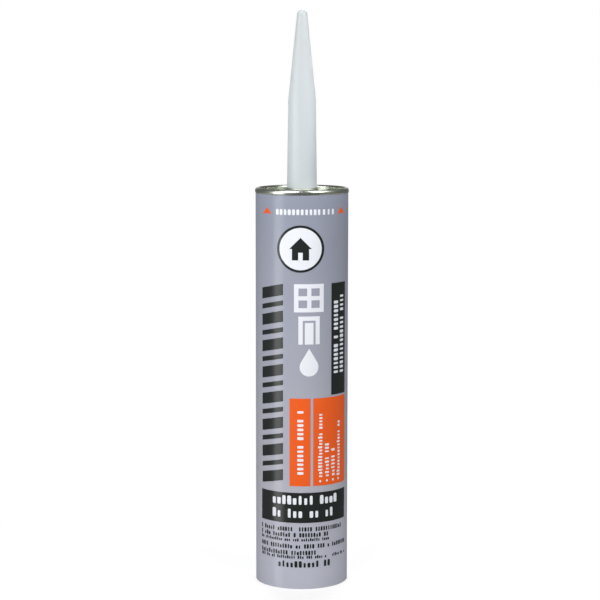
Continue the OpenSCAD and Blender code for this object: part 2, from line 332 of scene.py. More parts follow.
wrapMaterial = printMaterial("wrapPaper")
darkMaterial = printMaterial("darkInk", printing["dark"])
orangeMaterial = printMaterial("orangeInk", printing["orange"])
whiteMaterial = printMaterial("whiteInk", printing["white"])

# Grey-brown wound board, paler and with its plies showing where it is cut
board = {
    "fibre": (0.42, 0.35, 0.26),
    "cloud shade": 0.82,
    "fleck shade": 1.18,
    "fleck limits": (0.4, 0.7),
    "cut": (0.56, 0.49, 0.39),
    "cut height": 0.1,
    "ply line": (0.25, 0.2, 0.14),
    "ply line width": 0.16,
    "plies": 5,
    "winding width": 0.006,
    "roughness": 0.82,
    "shine": 0.25,
    "grain": {"Grain scale": 900, "Cloud scale": 90},
    "grain height": 0.6,
    "relief": (0.5, 0.06),
}


def boardMaterial():
    material, tree, surface = startMaterial("woundBoard", {
        "Roughness": board["roughness"],
        "Specular IOR Level": board["shine"],
    })
    grain = useGroup(tree, grainGroup, (-900, 200), board["grain"])
    where = useGroup(tree, roundGroup, (-900, -200))
    clouded = tuple(c * board["cloud shade"] for c in board["fibre"])
    flecked = tuple(c * board["fleck shade"] for c in board["fibre"])
    fibres = addMix(tree, (-250, 250), grain["Cloud"], board["fibre"], clouded)
    flecks = addRange(tree, (-250, 60), grain["Grain"], *board["fleck limits"])
    speckled = addMix(tree, (-50, 250), flecks, fibres, flecked)
    seam = addWinding(tree, where, board["winding width"])
    inside = addMix(tree, (100, 150), seam, board["ply line"], speckled)
    bore, outside = wall["bore"] * mm, boardRadius * mm
    depth = addRange(tree, (-650, -100), where["Radius"], bore, outside, 0, board["plies"])
    betweenPlies = addMath(tree, "PINGPONG", (-450, -100), depth, 0.5)
    ply = addRange(tree, (-250, -100), betweenPlies, 0, board["ply line width"], smooth=True)
    cut = addMix(tree, (100, -50), ply, board["ply line"], board["cut"])
    cutEdge = addRange(tree, (-650, -700), where["Height"], 0, board["cut height"] * mm, 1, 0)
    feed(tree, surface.inputs["Base Color"], addMix(tree, (250, 100), cutEdge, inside, cut))
    height = addMath(tree, "MULTIPLY_ADD", (0, -400), grain["Grain"], board["grain height"], seam)
    addBump(tree, surface, height, *board["relief"])
    return material


# Bright tinned steel, faintly green, with drawn rings on the panel, smears where it is held, and a
# rougher neck where the sheet was stretched, darkened there as painted shade that dims mirrored lamps
tin = {
    "colour": (0.645, 0.685, 0.6),
    "smeared": (0.515, 0.55, 0.475),
    "smear share": 0.55,
    # painted shade: a darker neck colour that dims the boxes mirrored on the flare
    "neck": (0.455, 0.48, 0.43),
    "neck from": 12,
    "neck to": 16,
    "roughness": 0.26,
    "smear roughness": 0.07,
    "rub roughness": 0.06,
    "neck roughness": 0.28,
    "handling": {"Smear scale": 60, "Rub scale": 700},
    "ring scale": 9000,
    "ring wander": 0.0006,
    "relief": (0.15, 0.0015),
}


def tinMaterial():
    material, tree, surface = startMaterial("tinplate", {"Metallic": 1.0})
    hands = useGroup(tree, handlingGroup, (-900, 100), tin["handling"])
    where = useGroup(tree, roundGroup, (-900, -200))
    smeared = addMath(tree, "MULTIPLY", (-300, 350), hands["Smear"], tin["smear share"])
    held = addMix(tree, (-100, 350), smeared, tin["colour"], tin["smeared"])
    neckEnds = tin["neck from"] * mm, tin["neck to"] * mm
    neck = addRange(tree, (-300, 100), where["Radius"], *neckEnds, 1, 0, True)
    # The neck's darker colour is painted shade that dims the lamps the flare mirrors; its roughness is the
    # stretched sheet's own
    feed(tree, surface.inputs["Base Color"], addMix(tree, (100, 250), neck, held, tin["neck"]))
    rubbed = addMath(tree, "MULTIPLY_ADD", (-200, -50), hands["Rub"], tin["rub roughness"], tin["roughness"])
    rough = addMath(tree, "MULTIPLY_ADD", (0, -50), hands["Smear"], tin["smear roughness"], rubbed)
    roughen(tree, surface, neck, tin["neck roughness"], rough)
    wander = addMath(tree, "MULTIPLY", (-850, -400), where["Turn"], tin["ring wander"])
    spot = addNode(tree, "ShaderNodeCombineXYZ", (-650, -200), None, {0: where["Radius"], 1: wander})
    rings = addNoise(tree, (-450, -200), spot.outputs[0], tin["ring scale"], 2, 0.5)
    addBump(tree, surface, rings, *tin["relief"])
    return material


# Milky plastics with a fine moulded frost: natural polyethylene for the nozzle, greyer and darker
# towards its solid tip as painted shade against the nozzle boxes' light, and a whiter one for the plunger
plastics = {
    # the nozzle's tip colour is painted shade, darker where the nozzle boxes light it most
    "nozzle": {"colour": (0.58, 0.624, 0.656), "tip": (0.535, 0.567, 0.579), "tip from": 245, "tip to": 300,
               "glow": 0.42, "glow depth": 3.5, "roughness": 0.36},
    "plunger": {"colour": (0.8, 0.8, 0.77), "glow": 0.3, "glow depth": 3, "roughness": 0.42},
}
frost = {
    "glow reach": (0.9, 0.95, 1.0),
    "shine": 0.5,
    "tones": (0.975, 1.01),
    "smear roughness": 0.08,
    "grain": {"Grain scale": 1500, "Cloud scale": 30},
    "handling": {"Smear scale": 38, "Rub scale": 350},
    "relief": (0.25, 0.015),
}


def plasticMaterial(name, plastic):
    material, tree, surface = startMaterial(name, {
        "Subsurface Weight": plastic["glow"],
        "Subsurface Radius": frost["glow reach"],
        "Subsurface Scale": plastic["glow depth"] * mm,
        "Specular IOR Level": frost["shine"],
    })
    grain = useGroup(tree, grainGroup, (-700, 200), frost["grain"])
    hands = useGroup(tree, handlingGroup, (-700, -100), frost["handling"])
    colour = plastic["colour"]
    # Painted shade: the colour darkens towards the tip to offset the light of the nozzle boxes there
    if "tip" in plastic:
        height = useGroup(tree, roundGroup, (-700, 450))["Height"]
        tipEnds = plastic["tip from"] * mm, plastic["tip to"] * mm
        high = addRange(tree, (-500, 450), height, *tipEnds, smooth=True)
        colour = addMix(tree, (-300, 400), high, colour, plastic["tip"])
    paint(tree, surface, colour, addRange(tree, (-400, 150), grain["Cloud"], 0, 1, *frost["tones"]))
    roughen(tree, surface, hands["Smear"], frost["smear roughness"], plastic["roughness"])
    addBump(tree, surface, grain["Grain"], *frost["relief"])
    return material


# Plain finishes of the pieces inside
hidden = {
    "paste": {"colour": (0.6, 0.6, 0.59), "grain scale": 260, "contrast": 0.04, "relief": (0.4, 0.2),
              "shine": {"Roughness": 0.32, "Coat Weight": 0.3}},
    "compound": {"colour": (0.16, 0.2, 0.18), "grain scale": 1200, "contrast": 0.12, "relief": (0.4, 0.03),
                 "shine": {"Roughness": 0.7}},
    "foil": {"colour": (0.82, 0.82, 0.84), "grain scale": 400, "contrast": 0.03, "relief": (0.4, 0.05),
             "shine": {"Metallic": 1.0, "Roughness": 0.28}},
}
hiddenLimits, grainsPerCloud = (0.5, 1.5), 12


def plainMaterial(name):
    look = hidden[name]
    material, tree, surface = startMaterial(name, look["shine"])
    scales = {"Grain scale": look["grain scale"], "Cloud scale": look["grain scale"] / grainsPerCloud}
    grain = useGroup(tree, grainGroup, (-700, 100), scales)
    mixed = addMath(tree, "ADD", (-450, 100), grain["Cloud"], grain["Grain"])
    paint(tree, surface, look["colour"], addTone(tree, (-250, 100), mixed, hiddenLimits, look["contrast"]))
    addBump(tree, surface, mixed, *look["relief"])
    return material


boardFinish = boardMaterial()
tinFinish = tinMaterial()
spoutFinish = plasticMaterial("naturalPlastic", plastics["nozzle"])
plungerFinish = plasticMaterial("plungerPlastic", plastics["plunger"])
pasteFinish, compoundFinish, foilFinish = [plainMaterial(name) for name in hidden]
print("materials: print, board, tinplate, plastics and hidden finishes made")

# The tinplate front end: one sheet from the hem under the rim to the neck's lip. Drops are from the top.
rim = {"sheet": 0.25, "proud": 0.3, "drop": 1.7, "ease": 0.075, "panel drop": 3.1, "groove drop": 0.15,
       "groove": 0.45, "panel edge": 0.4, "flare": 3.5, "lip angle": 8, "steps round": 240, "steps": 14}

# The crown's arc rises from the chuck wall, and the bead's goes on from it and curls in to the paper
rimRadius = paperRadius + rim["proud"]
chuckRadius = wall["bore"] - wall["gap"] - rim["sheet"]
crownRadius = (rimRadius - chuckRadius) / 2 - rim["ease"]
crownMiddle = (chuckRadius + crownRadius, wall["top"] - crownRadius)
beadHeight = wall["top"] - rim["drop"]
crownIn = crownMiddle[0] - rimRadius
crownUp = crownMiddle[1] - beadHeight
beadRadius = (crownRadius ** 2 - crownIn ** 2 - crownUp ** 2) / (2 * (crownIn + crownRadius))
beadMiddle = (rimRadius - beadRadius, beadHeight)
crownStart = math.degrees(math.atan2(crownUp, crownMiddle[0] - beadMiddle[0]))
hemStart = -math.degrees(math.acos((paperRadius - beadMiddle[0]) / beadRadius))
hemHeight = beadHeight + beadRadius * math.sin(math.radians(hemStart))

# The hem squeezes the wall in below it
boardTop = crownMiddle[1] - wall["gap"]
gripRadius = beadMiddle[0] + (beadRadius - rim["sheet"]) * math.cos(math.radians(hemStart)) - wall["gap"]
squeeze = paperRadius - gripRadius
gripStart = hemHeight - wall["gap"] - wall["slope"] / 2

# The moulded nozzle: flange under the panel, neck, straight shank, full shoulder and closed taper
spout = {
    "rise": 94.2,
    "base width": 16.1,
    "shank rise": 44.2,
    "draft": 1.25,
    "shoulder": 1.2,
    "shoulder ease": (0.012, 0.02, 0.01),
    "tip width": 5.6,
    "tip round": 2.3,
    "tip solid": 4,
    "wall": 1.3,
    "least bore": 0.4,
    "flange width": 30,
    "flange": 1.2,
    "parting ridge": 0.035,
    "parting width": 0.3,
    "parting steps": (0.35, 0.7, 1.05, 1.4),
    "parting margin": 0.4,
    "steps round": 160,
    "steps": 14,
}

panelHeight = wall["top"] - rim["panel drop"]
spoutBase = spout["base width"] / 2
flareMiddle = (spoutBase + wall["gap"] + rim["sheet"] + rim["flare"], panelHeight + rim["flare"])
shankHeight = wall["top"] + spout["shank rise"]
tipHeight = wall["top"] + spout["rise"]
shankRadius = spoutBase - spout["draft"] / 2
tipMiddle = (spout["tip width"] / 2 - spout["tip round"], tipHeight - spout["tip round"])
toTip = (tipMiddle[0] - shankRadius, tipMiddle[1] - shankHeight)
taperLine = math.atan2(toTip[1], toTip[0]) - math.asin(spout["tip round"] / math.hypot(*toTip))
taper = math.degrees(taperLine) - 90
taperSlope = math.tan(math.radians(taper))


# The section of the sheet at a depth below its outer face, from the hem to the lip
def sheetLine(depth):
    groove, edge, steps = rim["groove"], rim["panel edge"], rim["steps"]
    grooveMiddle = (chuckRadius - groove, panelHeight - rim["groove drop"] - edge)
    edgeMiddle = (chuckRadius - 2 * groove - edge, panelHeight - edge)
    line = arcPoints(beadMiddle, beadRadius - depth, hemStart, crownStart, steps)
    line += arcPoints(crownMiddle, crownRadius - depth, crownStart, 180, 2 * steps)[1:]
    line += arcPoints(grooveMiddle, groove + depth, 0, -180, steps)
    line += arcPoints(edgeMiddle, edge - depth, 0, 90, steps)
    return line + arcPoints(flareMiddle, rim["flare"] + depth, -90, -180 + rim["lip angle"], steps)


frontMesh = turned("tinFront", sheetLine(0) + sheetLine(rim["sheet"])[::-1], evenAngles(rim["steps round"]))
addPiece("tinFront", frontMesh, tinFinish, "tinplate", "cartridge", "front_end")
print("front end: turned from one sheet line,", len(frontMesh.polygons), "faces")


# The radius from which a point lies on the nozzle's outside and is lifted by the ridges
def ridgeFrom(height):
    if height <= flareMiddle[1]:
        return spoutBase
    if height <= shankHeight:
        share = (height - flareMiddle[1]) / (shankHeight - flareMiddle[1])
        return spoutBase + (shankRadius - spoutBase) * share
    return shankRadius + (height - shankHeight) * taperSlope - spout["parting margin"]


# Two fine ridges where the mould's halves met, outside only, that fade up the shank and up the taper
def spoutLift(angle, radius, height):
    away = abs((angle % 180) - 90) * math.pi / 180 * radius
    outside = radius > ridgeFrom(height) - tiny
    return spout["parting ridge"] * (1 - smoothStep(away, 0, spout["parting width"] / 2)) if outside else 0


def spoutOutline():
    flangeTop = panelHeight - rim["sheet"] - wall["gap"]
    flangeFoot = flangeTop - spout["flange"]
    flangeRadius = spout["flange width"] / 2
    cavityTop = tipHeight - spout["tip solid"]
    cavityRadius = shankRadius - spout["wall"] - (cavityTop - shankHeight) * taperSlope
    shoulder, (easeUnder, easeAt, easeOver) = spout["shoulder"], spout["shoulder ease"]
    line = [(flangeRadius, flangeFoot), (flangeRadius, flangeTop)]
    line += arcPoints(flareMiddle, rim["flare"] + rim["sheet"] + wall["gap"], -90, -180, spout["steps"])
    line += [(shankRadius + easeUnder, shankHeight - shoulder), (shankRadius - easeAt, shankHeight),
             (shankRadius + shoulder * taperSlope - easeOver, shankHeight + shoulder)]
    line += arcPoints(tipMiddle, spout["tip round"], taper, 90, spout["steps"])
    line += [(0, tipHeight), (0, cavityTop), (max(cavityRadius, spout["least bore"]), cavityTop)]
    line += [(shankRadius - spout["wall"], shankHeight), (spoutBase - spout["wall"], flareMiddle[1])]
    return line + [(spoutBase - spout["wall"], flangeFoot)]


ridgeAngles = [side + way * step for side in (90, 270) for way in (-1, 1)
               for step in spout["parting steps"]]
spoutMesh = turned("nozzleShell", spoutOutline(), evenAngles(spout["steps round"], ridgeAngles), spoutLift)
addPiece("nozzleShell", spoutMesh, spoutFinish, "natural_plastic", "cartridge", "nozzle")
print("nozzle: turned with its flange, shank, taper and parting ridges")

# The printed wrap: rides the board's slight waviness and laps over itself at the back
wrap = {
    "wave": 0.02,
    "wave length": 42,
    "wave ends": (1, 9),  # below the rim's grip
    "lap": 0.11,
    "lap ends": (0.5, 3),
    "lap angle": 174,
    "lap edge": 0.03,  # as an angle
    "lap width": 7,
    "lap fade": 1.5,
    "row height": 5,
    "steps round": 360,
    "edge round": 0.07,
}
tube = {"row height": 60, "steps round": 240, "edge round": 0.02}


def waviness(angle, height):
    turn = math.radians(angle)
    spot = Vector((paperRadius * math.sin(turn), -paperRadius * math.cos(turn), height)) / wrap["wave length"]
    return wrap["wave"] * noise.noise(spot) * smoothStep(gripStart - height, *wrap["wave ends"])


def wrapLift(angle, radius, height):
    if radius < boardRadius + tiny:
        return 0
    past = ((angle - wrap["lap angle"]) % 360) * math.pi / 180 * paperRadius
    lapped = 1 - smoothStep(past, wrap["lap width"] - wrap["lap fade"], wrap["lap width"])
    return waviness(angle, height) + wrap["lap"] * lapped * smoothStep(gripStart - height, *wrap["lap ends"])


def wallOutline(outer, inner, layer):
    line = [(inner, 0), (outer - layer["edge round"], 0)]
    line += rowsBetween(outer, layer["edge round"], gripStart, layer["row height"])
    line += [(outer - squeeze, gripStart + wall["slope"]), (outer - squeeze, boardTop)]
    inTop = min(inner, outer - squeeze - wall["paper"])
    return line + [(inTop, boardTop), (inTop, gripStart + wall["slope"]), (inner, gripStart)]


wrapAngles = evenAngles(wrap["steps round"], [wrap["lap angle"] - wrap["lap edge"]])
wrapMesh = turned("wrapPaper", wallOutline(paperRadius, boardRadius, wrap), wrapAngles, wrapLift)
addPiece("wrapPaper", wrapMesh, wrapMaterial, "wrap", "cartridge", "label")

tubeMesh = turned("boardTube", wallOutline(boardRadius, wall["bore"], tube), evenAngles(tube["steps round"]))
addPiece("boardTube", tubeMesh, boardFinish, "board", "cartridge", "barrel")
print("barrel: wrap and wound tube turned,", len(wrapMesh.polygons), "faces in the wrap")

# The ink: each field of the solids, cut every few degrees so that it follows the round wrap, and laid
# thin on it
ink = {"solid": 0.1, "lift": 0.045, "sink": 0.02, "face": 0.012, "cut step": 1.5, "reach": 67.5}


# Lets the ink follow the wrap's waviness, and shades its face as round and its thin edges as flat
def settledInk(mesh, turnOut=False):
    tidied(mesh, turnOut=turnOut)
    limit = (paperRadius + ink["face"]) * mm
    proud, outward = [], []
    for vertex in mesh.vertices:
        x, y, z = vertex.co
        out = math.hypot(x, y)
        proud.append(out > limit)
        outward.append(Vector((x / out, y / out, 0)))
        vertex.co += outward[-1] * waviness(math.degrees(math.atan2(x, -y)), z / mm) * mm
    mesh.update()
    normals = []
    for face in mesh.polygons:
        onFace = {proud[i] for i in face.vertices}
        side = 1 if onFace == {True} else -1
        normals += [face.normal.copy() if len(onFace) == 2 else outward[i] * side for i in face.vertices]
    mesh.normals_split_custom_set(normals)
    return mesh


def laidInk(name, node):
    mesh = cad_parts[node].data.copy()
    mesh.name = name
    shape = bmesh.new()
    shape.from_mesh(mesh)
    bmesh.ops.remove_doubles(shape, verts=shape.verts, dist=cadWeld)
    angle = -ink["reach"]
    while angle <= ink["reach"]:
        turn = math.radians(angle)
        everything = shape.verts[:] + shape.edges[:] + shape.faces[:]
        bmesh.ops.bisect_plane(shape, geom=everything, dist=hair, plane_co=(0, 0, 0),
                               plane_no=(math.cos(turn), math.sin(turn), 0))
        angle += ink["cut step"]
    middle = (paperRadius + ink["solid"] / 2) * mm
    for vertex in shape.verts:
        x, y, z = vertex.co
        out = math.hypot(x, y)
        wanted = (paperRadius + (ink["lift"] if out > middle else -ink["sink"])) * mm
        vertex.co = (x * wanted / out, y * wanted / out, z)
    shape.to_mesh(mesh)
    shape.free()
    return settledInk(mesh)


for name, node, material, slot in (("darkInk", "dark_print", darkMaterial, "dark_ink"),
                                   ("orangeInk", "orange_print", orangeMaterial, "orange_ink"),
                                   ("whiteInk", "white_print", whiteMaterial, "white_ink")):
    addPiece(name, laidInk(name, node), material, slot, "cartridge", node)
print("ink: three colours laid on the wrap")

markShape = {"cuts": 4, "corner from": 0.2, "corner pull": 0.29}


# Rows of plain marks that stand where small print would be. Each row is an edge in the flat sheet, and
# the tree strings marks along it, drops some to leave gaps, and rolls the sheet round the barrel.
def rowTree():
    tree = bpy.data.node_groups.new("markRows", "GeometryNodeTree")
    tree.is_modifier = True
    inputs = {
        "Geometry": ("Geometry", None), "Pitch": ("Float", 0.001), "Mark height": ("Float", 0.002),
        "Low share": ("Float", 0.7), "Low chance": ("Float", 0.5), "Thin share": ("Float", 0.4),
        "Wide share": ("Float", 0.7), "Gap chance": ("Float", 0.1), "Corner": ("Float", 0.3),
        "Turn": ("Float", 0.0), "Radius": ("Float", 0.025), "Thickness": ("Float", 0.0001),
        "Seed": ("Int", 1), "Material": ("Material", None),
    }
    for label, (kind, value) in inputs.items():
        socket = tree.interface.new_socket(label, in_out="INPUT", socket_type="NodeSocket" + kind)
        if value is not None:
            socket.default_value = value
    tree.interface.new_socket("Geometry", in_out="OUTPUT", socket_type="NodeSocketGeometry")
    start = addNode(tree, "NodeGroupInput", (-1600, 0)).outputs

    def make(kind, place, values, settings=None):
        return addNode(tree, kind, place, settings, values).outputs[0]

    def calc(operation, place, *values):
        return addMath(tree, operation, place, *values)

    def seeded(place, seedShift, values):
        return {**values, "Seed": calc("ADD", (place[0] - 200, place[1]), start["Seed"], seedShift)}

    # Inputs 2, 3 and 6 are a number's limits and a chance, outputs 1 and 3 the number and the yes or no
    def randomNumber(place, seedShift, low, high):
        values = seeded(place, seedShift, {2: low, 3: high})
        return addNode(tree, "FunctionNodeRandomValue", place, {"data_type": "FLOAT"}, values).outputs[1]

    def randomChance(place, seedShift, chance):
        values = seeded(place, seedShift, {6: chance})
        return addNode(tree, "FunctionNodeRandomValue", place, {"data_type": "BOOLEAN"}, values).outputs[3]

    # One mark, a unit square with eased corners, standing on the row and facing the front. Its few
    # columns and rows let it bend round the barrel.
    square = make("GeometryNodeMeshGrid", (-1500, 500), {
        "Size X": 1.0, "Size Y": 1.0, "Vertices X": markShape["cuts"], "Vertices Y": markShape["cuts"]})
    spotAt = make("GeometryNodeInputPosition", (-1700, 300), {})
    across, up, _ = addNode(tree, "ShaderNodeSeparateXYZ", (-1500, 300), None, {0: spotAt}).outputs
    outness = calc("ABSOLUTE", (-1200, 200), calc("MULTIPLY", (-1300, 300), across, up))
    eased = calc("MULTIPLY", (-1300, 100), start["Corner"], markShape["corner pull"])
    pulled = make("ShaderNodeVectorMath", (-950, 200), {
        0: spotAt, "Scale": calc("SUBTRACT", (-1100, 150), 1, eased)}, {"operation": "SCALE"})
    filled = make("GeometryNodeSetPosition", (-900, 500), {
        "Geometry": square, "Position": pulled,
        "Selection": calc("GREATER_THAN", (-1100, 300), outness, markShape["corner from"])})
    raised = make("GeometryNodeExtrudeMesh", (-700, 600), {
        "Mesh": filled, "Offset Scale": 1, "Individual": False})
    block = addNode(tree, "GeometryNodeJoinGeometry", (-500, 500))
    for part in (raised, make("GeometryNodeFlipFaces", (-700, 400), {0: filled})):
        feed(tree, block.inputs[0], part)
    standing = make("GeometryNodeTransform", (-300, 500), {
        "Geometry": block.outputs[0], "Rotation": Euler((math.pi / 2, 0, 0)), "Translation": (0, 0, 0.5)})

    # Marks along each row, some left out
    strung = make("GeometryNodeMeshToCurve", (-1300, 0), {0: start["Geometry"]})
    spots = make("GeometryNodeCurveToPoints", (-1100, 0), {"Curve": strung, "Length": start["Pitch"]},
                 {"mode": "LENGTH"})
    gaps = randomChance((-1100, -200), 0, start["Gap chance"])
    kept = make("GeometryNodeDeleteGeometry", (-900, 0), {"Geometry": spots, "Selection": gaps},
                {"domain": "POINT"})
    widthShare = randomNumber((-700, -150), 11, start["Thin share"], start["Wide share"])
    heightShare = make("GeometryNodeSwitch", (-500, -350), {
        "False": 1.0, "True": start["Low share"],
        "Switch": randomChance((-700, -400), 23, start["Low chance"])}, {"input_type": "FLOAT"})
    size = make("ShaderNodeCombineXYZ", (-100, -150), {
        0: calc("MULTIPLY", (-500, -100), start["Pitch"], widthShare), 1: start["Thickness"],
        2: calc("MULTIPLY", (-300, -300), start["Mark height"], heightShare)})
    placed = make("GeometryNodeInstanceOnPoints", (100, 100), {
        "Points": kept, "Instance": standing, "Scale": size})
    real = make("GeometryNodeRealizeInstances", (300, 100), {0: placed})

    # Turns the rows in the flat sheet and rolls the sheet
    turn = make("ShaderNodeCombineXYZ", (300, -150), {1: start["Turn"]})
    flat = make("GeometryNodeTransform", (500, 100), {"Geometry": real, "Rotation": turn})
    flatSpot = make("GeometryNodeInputPosition", (300, -300), {})
    along, depth, height = addNode(tree, "ShaderNodeSeparateXYZ", (500, -300), None, {0: flatSpot}).outputs
    angle = calc("DIVIDE", (700, -250), along, start["Radius"])
    out = calc("SUBTRACT", (700, -400), start["Radius"], depth)
    back = calc("MULTIPLY", (900, -350), out, calc("COSINE", (900, -450), angle))
    rolled = make("ShaderNodeCombineXYZ", (1100, -300), {
        0: calc("MULTIPLY", (900, -200), out, calc("SINE", (900, -100), angle)),
        1: calc("MULTIPLY", (1000, -450), back, -1), 2: height})
    moved = make("GeometryNodeSetPosition", (1200, 100), {"Geometry": flat, "Position": rolled})
    finished = make("GeometryNodeSetMaterial", (1500, 100), {
        "Geometry": moved, "Material": start["Material"]})
    addNode(tree, "NodeGroupOutput", (1800, 0), None, {0: finished})
    return tree


marksTree = rowTree()

# Every row in mm: along the sheet from the middle of the front, and up from the foot. An upright row
# reads upwards, and is given as its place along the sheet, its start and its end. A group overrides
# what it has unlike the rest.
markLook = {"Low share": 0.74, "Low chance": 0.0, "Thin share": 0.45, "Wide share": 0.75, "Gap chance": 0.13,
            "Corner": 0.3}
markGroups = [
    {"ink": "white", "height": 3.0, "pitch": 2.2, "Seed": 3,
     "rows": [(-15.5, 5.2, 201.9), (7.4, 15.9, 201.9)],
     "Thin share": 0.5, "Wide share": 0.78, "Gap chance": 0.0},
    {"ink": "white", "height": 3.3, "pitch": 2.35, "Seed": 5, "upright": True, "rows": [(20.2, 117.4, 155.0)],
     "Gap chance": 0.1},
    {"ink": "white", "height": 3.3, "pitch": 2.35, "Seed": 6, "upright": True, "rows": [(25.2, 117.4, 158.0)],
     "Gap chance": 0.1},
    {"ink": "white", "height": 3.3, "pitch": 2.3, "Seed": 8, "upright": True, "rows": [(-0.9, 63.6, 96.7)],
     "Thin share": 0.5, "Wide share": 0.78, "Gap chance": 0.14},
    {"ink": "white", "height": 2.5, "pitch": 1.75, "Seed": 12, "upright": True,
     "rows": [(9.6, 61.6, 95.0), (13.7, 61.6, 78.6), (17.8, 61.8, 75.4), (22.0, 61.3, 91.8)],
     "Low chance": 0.6},
    {"ink": "white", "height": 1.25, "pitch": 1.25, "Seed": 1, "upright": True,
     "rows": [(9.0, 58.9, 58.9), (13.1, 58.9, 58.9), (17.2, 58.9, 58.9), (21.4, 58.9, 58.9)],
     "Thin share": 1.0, "Wide share": 1.0, "Gap chance": 0.0, "Corner": 1.0},
    {"ink": "white", "height": 4.9, "pitch": 2.75, "Seed": 21,
     "rows": [(-17.5, 18.2, 46.4), (-17.5, 15.4, 39.2)],
     "Low chance": 0.68, "Thin share": 0.55, "Wide share": 0.86, "Gap chance": 0.12, "Corner": 0.35},
    {"ink": "dark", "height": 2.35, "pitch": 1.5, "Seed": 31,
     "rows": [(-27.0, 22.9, 31.75), (-27.0, 12.8, 28.55), (-27.0, 27.0, 22.35), (-27.0, 5.4, 18.75)],
     "Low chance": 0.15, "Wide share": 0.8},
    {"ink": "dark", "height": 1.75, "pitch": 1.15, "Seed": 37,
     "rows": [(-27.0, 13.5, 26.3), (-27.0, 27.0, 16.7)],
     "Low chance": 0.6, "Wide share": 0.8},
    {"ink": "dark", "height": 3.5, "pitch": 2.3, "Seed": 44, "rows": [(-14.2, 13.8, 11.9)],
     "Low chance": 0.45, "Wide share": 0.76, "Gap chance": 0.18},
]
markInk = {"white": (whiteMaterial, "white_ink"), "dark": (darkMaterial, "dark_ink")}
markLay = {"foot": -0.01, "thick": 0.1, "shortest row": 0.01}


def strungRows(group):
    upright = group.get("upright", False)
    points, edges = [], []
    for row in group["rows"]:
        lineAt, begin, finish = row if upright else (row[2], row[0], row[1])
        # An upright row is drawn lying down at its own length and turned by the tree
        across = -lineAt if upright else lineAt
        edges.append((len(points), len(points) + 1))
        finish = max(finish, begin + markLay["shortest row"])
        points += [(begin * mm, 0, across * mm), (finish * mm, 0, across * mm)]
    mesh = bpy.data.meshes.new("rows")
    mesh.from_pydata(points, edges, [])
    holder = bpy.data.objects.new("rows", mesh)
    bpy.context.scene.collection.objects.link(holder)
    modifier = holder.modifiers.new("marks", "NODES")
    modifier.node_group = marksTree
    wanted = {**markLook, **group, "Pitch": group["pitch"] * mm, "Mark height": group["height"] * mm,
              "Turn": -math.pi / 2 if upright else 0.0, "Radius": (paperRadius + markLay["foot"]) * mm,
              "Thickness": markLay["thick"] * mm, "Material": markInk[group["ink"]][0]}
    for item in marksTree.interface.items_tree:
        if item.in_out == "INPUT" and item.name in wanted:
            modifier[item.identifier] = wanted[item.name]
    seen = holder.evaluated_get(bpy.context.evaluated_depsgraph_get())
    result = bpy.data.meshes.new_from_object(seen)
    holder.modifiers.remove(modifier)
    bpy.data.objects.remove(holder)
    return result


for inkName, (material, slot) in markInk.items():
    joined = bmesh.new()
    for group in markGroups:
        if group["ink"] == inkName:
            strung = strungRows(group)
            joined.from_mesh(strung)
            bpy.data.meshes.remove(strung)
    rowsMesh = bpy.data.meshes.new(inkName + "Rows")
    joined.to_mesh(rowsMesh)
    joined.free()
    addPiece(inkName + "Rows", settledInk(rowsMesh, True), material, slot, "cartridge")
    print("rows:", inkName, "marks,", len(rowsMesh.polygons), "faces")


# The plunger and the paste in front of it, as the solids have them, shaded anew from their own faces
def refined(name, node):
    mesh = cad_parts[node].data.copy()
    mesh.name = name
    stored = mesh.attributes.get("custom_normal")
    if stored:
        mesh.attributes.remove(stored)
    return tidied(mesh, cadWeld, False)


cupMesh = refined("plungerCup", "plunger")
addPiece("plungerCup", cupMesh, plungerFinish, "plunger_plastic", "plunger", "plunger")

pasteMesh = refined("pasteColumn", "sealant")
pasteColumn = addPiece("pasteColumn", pasteMesh, pasteFinish, "paste", "cartridge", "sealant")
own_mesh(pasteColumn)

for node, material in (("seam_compound", compoundFinish), ("breakaway_seal", foilFinish)):
    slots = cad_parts[node].material_slots
    for slot in slots:
        slot.material = material
    if not slots:
        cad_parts[node].data.materials.append(material)
print("inside: plunger, paste, compound and foil seal finished")

# The studio in metres: a pale floor, and a surround that is white for the camera and behind the object
# for what mirrors it, and dim elsewhere. The fades of the surround are by a ray's rise and by how far
# it goes to the camera.
studio = {
    "view azimuth": -4.15,
    "aim height": 0.15,
    "table radius": 0.42,
    "table hole": 0.0249,
    "table sides": 96,
    "table drop": 0.00002,
    "floor grey": 0.3,
    "floor seen": 0.93,
    "floor white": 0.65,
    "floor fade": (0.05, 0.22),
    "ambient": 0.12,
    "mirrored backdrop": 1,
    "mirrored table": 0.4,
    "backdrop rise": (-0.06, 0.1),
    "backdrop spread": (-1, -0.88),
    "mirrored floor": 0.45,
    "floor rise": (-0.45, -0.2),
    "floor spread": (0.35, 0.65),
    "dark side": 0.14,
}

